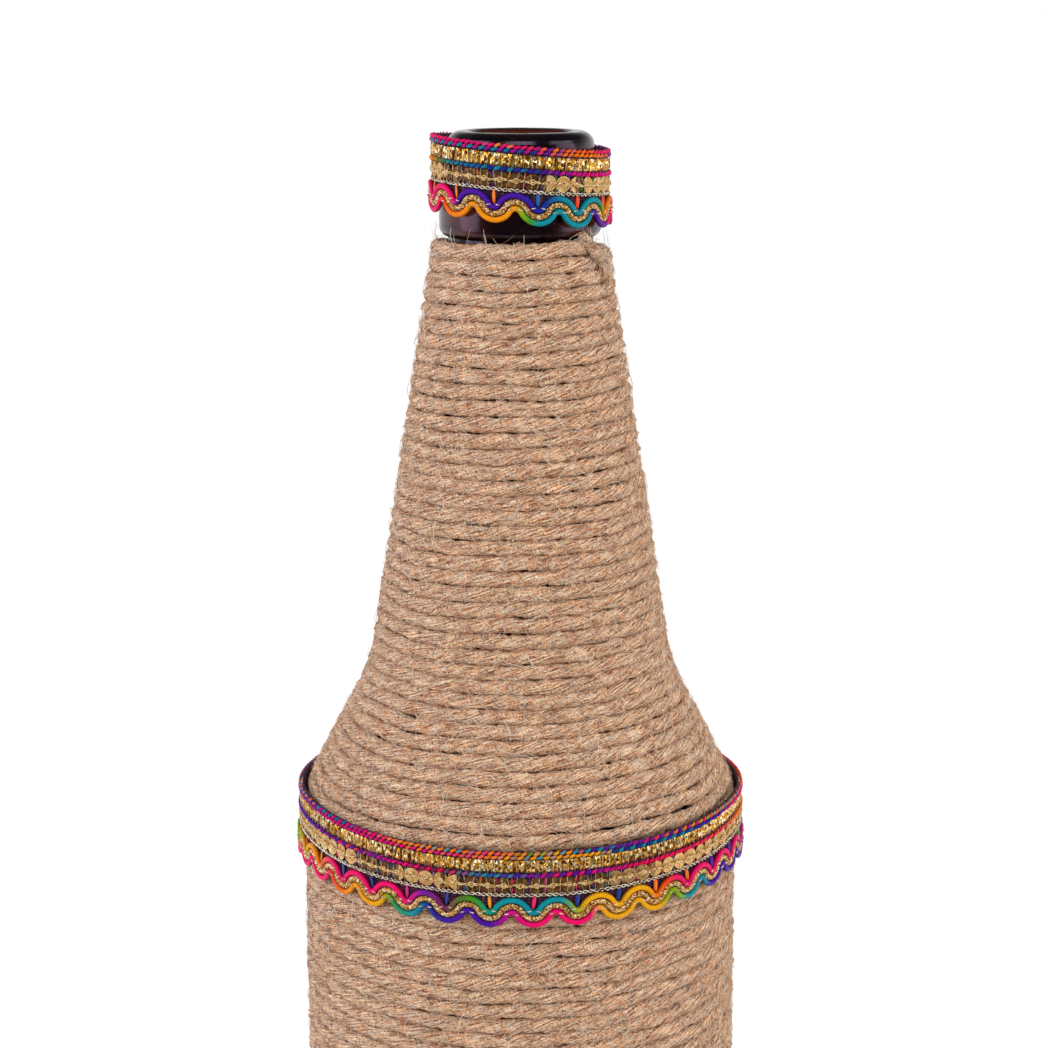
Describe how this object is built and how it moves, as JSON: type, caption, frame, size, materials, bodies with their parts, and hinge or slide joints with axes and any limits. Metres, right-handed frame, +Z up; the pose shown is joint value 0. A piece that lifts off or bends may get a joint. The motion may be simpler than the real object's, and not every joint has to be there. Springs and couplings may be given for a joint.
{
  "type": "message in a bottle",
  "caption": "Tall twine-wrapped glass bottle with scalloped trims round its neck and shoulder, an open mouth and a rolled sheet inside that lifts out.",
  "frame": {"origin": "middle of the foot, on the surface that the bottle stands on", "axes": "+Z up along the bottle's axis to the mouth, -Y towards the picture's camera, +X to its right"},
  "size_m": [0.0842, 0.0842, 0.29],
  "materials": {
    "amber_glass": "glossy, very dark amber",
    "jute_twine": "matte, hairy natural jute",
    "trim_net": "matte, fine net",
    "pink_cord": "satin thread, space-dyed",
    "indigo_cord": "satin thread, space-dyed",
    "teal_cord": "satin thread, space-dyed",
    "orange_cord": "satin thread, space-dyed",
    "gold_foil": "metallised plastic foil with pressed facets",
    "sequin": "satin metallised plastic",
    "gold_thread": "metallic yarn",
    "silver_thread": "metallic yarn",
    "message_paper": "matte, aged",
    "tie_thread": "matte cotton"
  },
  "bodies": {
    "bottle": {"glass_bottle": "amber_glass", "twine_neck_winding": "jute_twine", "twine_shoulder_winding": "jute_twine", "twine_body_winding": "jute_twine", "neck_trim_net_band": "trim_net", "neck_trim_top_edging": "pink_cord", "neck_trim_gold_tape": "gold_foil", "neck_trim_middle_edging": "indigo_cord", "neck_trim_sequins": "sequin", "neck_trim_sequin_chain": "gold_thread", "neck_trim_silver_thread": "silver_thread", "neck_trim_upper_scallop_cord": "teal_cord", "neck_trim_gold_wave_braid": "gold_thread", "neck_trim_lower_scallop_cord": "orange_cord", "neck_trim_tie_threads": "orange_cord", "shoulder_trim_net_band": "trim_net", "shoulder_trim_top_edging": "pink_cord", "shoulder_trim_gold_tape": "gold_foil", "shoulder_trim_middle_edging": "indigo_cord", "shoulder_trim_sequins": "sequin", "shoulder_trim_sequin_chain": "gold_thread", "shoulder_trim_silver_thread": "silver_thread", "shoulder_trim_upper_scallop_cord": "teal_cord", "shoulder_trim_gold_wave_braid": "gold_thread", "shoulder_trim_lower_scallop_cord": "orange_cord", "shoulder_trim_tie_threads": "orange_cord"},
    "message": {"message_scroll": "message_paper", "message_tie": "tie_thread"}
  },
  "joints": [
    {"name": "message_slide", "type": "slide", "parent": "bottle", "child": "message", "axis": [0, 0, 1], "range_m": [0, 0.24]}
  ]
}
